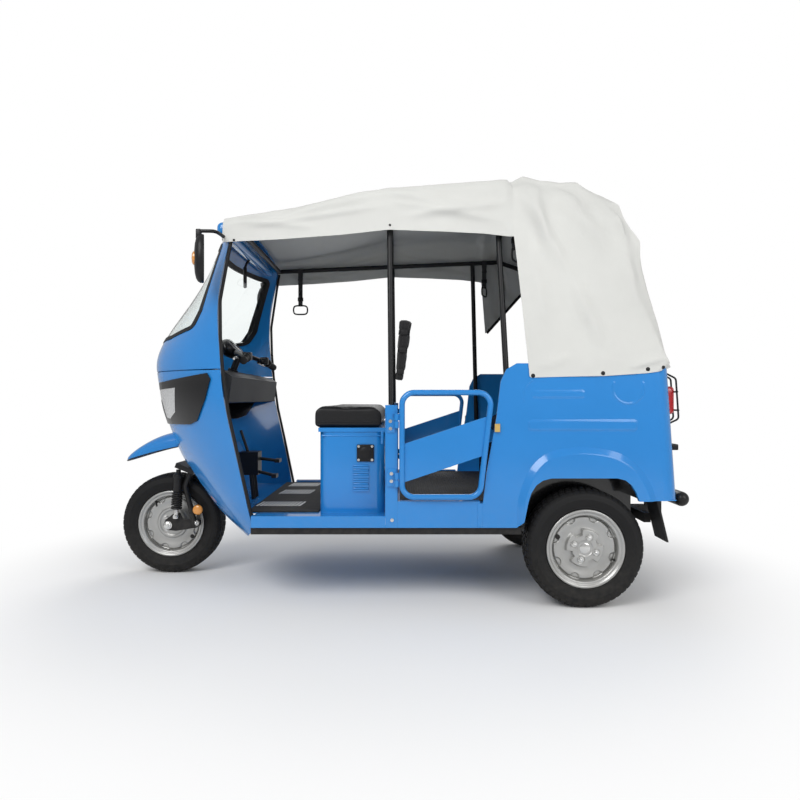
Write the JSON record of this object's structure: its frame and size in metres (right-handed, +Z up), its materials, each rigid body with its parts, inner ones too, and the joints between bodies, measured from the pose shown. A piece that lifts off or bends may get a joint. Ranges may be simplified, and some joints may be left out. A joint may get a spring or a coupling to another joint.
{
  "type": "motor tricycle",
  "caption": "Passenger motor tricycle with a steered front wheel, a windscreen nose, a driver bench, hinged side doors and a canvas roof on tube bows",
  "frame": {"origin": "on the ground at the middle of the length and of the width", "axes": "+X forward, +Y to the left of the vehicle, +Z up"},
  "size_m": [2.6848, 1.3818, 1.8859],
  "materials": {
    "body_blue": "glossy enamel, azure blue",
    "frame_black": "satin black paint",
    "wheel_silver": "silver wheel paint",
    "tyre_black": "moulded tread rubber",
    "trim_rubber": "black extruded rubber",
    "mat_rubber": "ribbed floor rubber",
    "canvas": "coated ivory canvas",
    "curtain": "rolled black cloth",
    "seat_vinyl": "black seat covering",
    "windscreen": "clear laminated glass",
    "lamp_lens": "clear lens",
    "lamp_black": "black lamp housing",
    "dash_grey": "grained dark grey moulding",
    "lamp_red": "red lens",
    "axle_steel": "dark painted steel",
    "cover_black": "black moulded cover",
    "latch_brass": "yellow passivated latch",
    "battery_case": "battery casing"
  },
  "bodies": {
    "chassis": {"chassis_frame": "frame_black", "floor_pan": "body_blue", "floor_mat": "mat_rubber", "side_posts": "body_blue", "nose_panel": "body_blue", "cowl": "body_blue", "windshield": "windscreen", "windshield_seal": "trim_rubber", "edge_trim": "trim_rubber", "lamp_housings": "lamp_black", "lamp_lenses": "lamp_lens", "dashboard": "dash_grey", "pedals": "frame_black", "seat_box": "body_blue", "battery": "battery_case", "charge_cover": "cover_black", "rear_body": "body_blue", "seat_base": "body_blue", "rear_cushion": "seat_vinyl", "seat_back": "seat_vinyl", "roof_frame": "frame_black", "canopy": "canvas", "strap_handles": "cover_black", "rolled_curtain": "curtain", "tail_lamps": "lamp_red", "tail_guards": "frame_black", "plate_bracket": "frame_black", "rear_bumper": "frame_black", "mud_flaps": "trim_rubber", "rear_axle": "axle_steel", "rear_springs": "frame_black", "mirrors": "cover_black", "mudguard": "body_blue", "door_latches": "latch_brass"},
    "steering": {"fork": "frame_black", "front_suspension": "frame_black", "handlebar": "frame_black"},
    "seat_cover": {"seat_lid": "body_blue", "driver_cushion": "seat_vinyl"},
    "wheel_front": {"front_wheel": "wheel_silver", "front_tyre": "tyre_black"},
    "wheel_rear_left": {"left_wheel": "wheel_silver", "left_tyre": "tyre_black"},
    "wheel_rear_right": {"right_wheel": "wheel_silver", "right_tyre": "tyre_black"},
    "side_door_left": {"door_left": "body_blue"},
    "side_door_right": {"door_right": "body_blue"}
  },
  "joints": [
    {"name": "steering_turn", "type": "hinge", "parent": "chassis", "child": "steering", "pos_m": [0.98778, 0, 0.54555], "axis": [-0.3746, 0, 0.9272], "range_deg": [-38, 38]},
    {"name": "front_wheel_roll", "type": "hinge", "parent": "steering", "child": "wheel_front", "pos_m": [1.09, 0, 0.2525], "axis": [0, 1, 0], "continuous": true},
    {"name": "rear_left_wheel_roll", "type": "hinge", "parent": "chassis", "child": "wheel_rear_left", "pos_m": [-0.86, 0.54, 0.2525], "axis": [0, 1, 0], "continuous": true},
    {"name": "rear_right_wheel_roll", "type": "hinge", "parent": "chassis", "child": "wheel_rear_right", "pos_m": [-0.86, -0.54, 0.2525], "axis": [0, 1, 0], "continuous": true},
    {"name": "left_door_swing", "type": "hinge", "parent": "chassis", "child": "side_door_left", "pos_m": [-0.06, 0.612, 0.547], "axis": [0, 0, -1], "range_deg": [0, 90]},
    {"name": "right_door_swing", "type": "hinge", "parent": "chassis", "child": "side_door_right", "pos_m": [-0.06, -0.612, 0.547], "axis": [0, 0, 1], "range_deg": [0, 90]},
    {"name": "driver_seat_lift", "type": "hinge", "parent": "chassis", "child": "seat_cover", "pos_m": [0.286, 0, 0.745], "axis": [0, 1, 0], "range_deg": [0, 70]}
  ]
}
